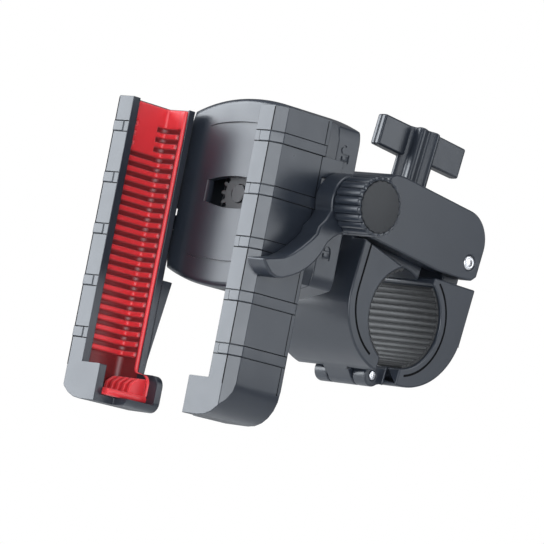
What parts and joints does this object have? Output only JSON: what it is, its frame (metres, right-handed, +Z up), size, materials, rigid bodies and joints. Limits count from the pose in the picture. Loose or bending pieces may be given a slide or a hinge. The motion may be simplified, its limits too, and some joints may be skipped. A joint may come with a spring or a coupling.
{
  "type": "bicycle phone mount",
  "caption": "Handlebar phone mount: hinged bar clamp with a tee knob, a ball joint, and a cradle whose padded jaws close together by a knob and rack and pinion, held by a lock lever.",
  "frame": {"origin": "centre of the handlebar bore, midway along the clamp", "axes": "+X along the handlebar, towards the adjusting knob; -Y is the way the phone screen faces; +Z up along the phone jaws"},
  "size_m": [0.1045, 0.1316, 0.1182],
  "materials": {
    "body_plastic": "satin dark grey moulded plastic",
    "dark_plastic": "matte near-black plastic",
    "red_silicone": "soft satin red silicone",
    "black_rubber": "matte black rubber",
    "steel": "bright turned steel"
  },
  "bodies": {
    "root": {"clamp_body": "body_plastic", "body_liner": "black_rubber", "hinge_pin": "steel", "ball_stud": "body_plastic"},
    "rear_jaw": {"lower_jaw": "body_plastic", "jaw_liner": "black_rubber", "arm_rivet": "steel"},
    "arm": {"clamp_arm": "body_plastic"},
    "tee": {"t_knob": "body_plastic", "knob_washer": "steel", "clamp_screw": "steel"},
    "nut": {"clamp_nut": "steel"},
    "cradle": {"socket_cup": "body_plastic", "rear_housing": "body_plastic", "front_housing": "body_plastic", "housing_screws": "steel", "pinion_pin": "dark_plastic", "lock_washer": "steel"},
    "collar": {"collar_nut": "body_plastic"},
    "right": {"right_jaw": "body_plastic", "right_pad": "red_silicone"},
    "left": {"left_jaw": "body_plastic", "left_pad": "red_silicone"},
    "gear": {"pinion": "dark_plastic"},
    "screw_drive": {"spindle": "steel", "spindle_clip": "steel", "adjust_knob": "body_plastic", "knob_cap": "dark_plastic"},
    "lever": {"lock_lever": "body_plastic"}
  },
  "joints": [
    {"name": "clamp_open", "type": "hinge", "parent": "root", "child": "rear_jaw", "pos_m": [0, -0.0038, -0.02119], "axis": [-1, 0, 0], "range_deg": [0, 100]},
    {"name": "arm_rock", "type": "hinge", "parent": "rear_jaw", "child": "arm", "pos_m": [0, 0.0257, 0.02435], "axis": [-1, 0, 0], "range_deg": [0, 2.5]},
    {"name": "tee_spin", "type": "hinge", "parent": "arm", "child": "tee", "pos_m": [0, 0.00801, 0.04938], "axis": [0, 0.1305, 0.9914], "range_deg": [0, 360]},
    {"name": "nut_slide", "type": "slide", "parent": "arm", "child": "nut", "axis": [0, 0.1305, 0.9914], "range_m": [-0.0011, 0]},
    {"name": "cradle_tilt", "type": "hinge", "parent": "root", "child": "collar", "pos_m": [0, -0.037, 0.0276], "axis": [1, 0, 0], "range_deg": [-22.5, 7.5]},
    {"name": "cradle_spin", "type": "hinge", "parent": "collar", "child": "cradle", "pos_m": [0, -0.037, 0.0276], "axis": [0, 1, 0], "continuous": true},
    {"name": "right_jaw_slide", "type": "slide", "parent": "cradle", "child": "right", "axis": [1, 0, 0], "range_m": [-0.01, 0]},
    {"name": "left_jaw_slide", "type": "slide", "parent": "cradle", "child": "left", "axis": [1, 0, 0], "range_m": [0, 0.01]},
    {"name": "pinion_spin", "type": "hinge", "parent": "cradle", "child": "gear", "pos_m": [0, -0.0665, 0.0276], "axis": [0, 1, 0], "range_deg": [-72, 0]},
    {"name": "knob_spin", "type": "hinge", "parent": "cradle", "child": "screw_drive", "pos_m": [0.056, -0.0648, 0.0276], "axis": [1, 0, 0], "range_deg": [-901, 0]},
    {"name": "lever_swing", "type": "hinge", "parent": "cradle", "child": "lever", "pos_m": [0.0463, -0.0648, 0.0276], "axis": [1, 0, 0], "range_deg": [-80, 0]}
  ],
  "couplings": [
    {"joint": "left_jaw_slide", "follows": "right_jaw_slide", "ratio": -1},
    {"joint": "pinion_spin", "follows": "right_jaw_slide", "rad_per_m": 125},
    {"joint": "knob_spin", "follows": "right_jaw_slide", "rad_per_m": 1570.8},
    {"joint": "nut_slide", "follows": "tee_spin", "m_per_rad": -0.00015915}
  ]
}
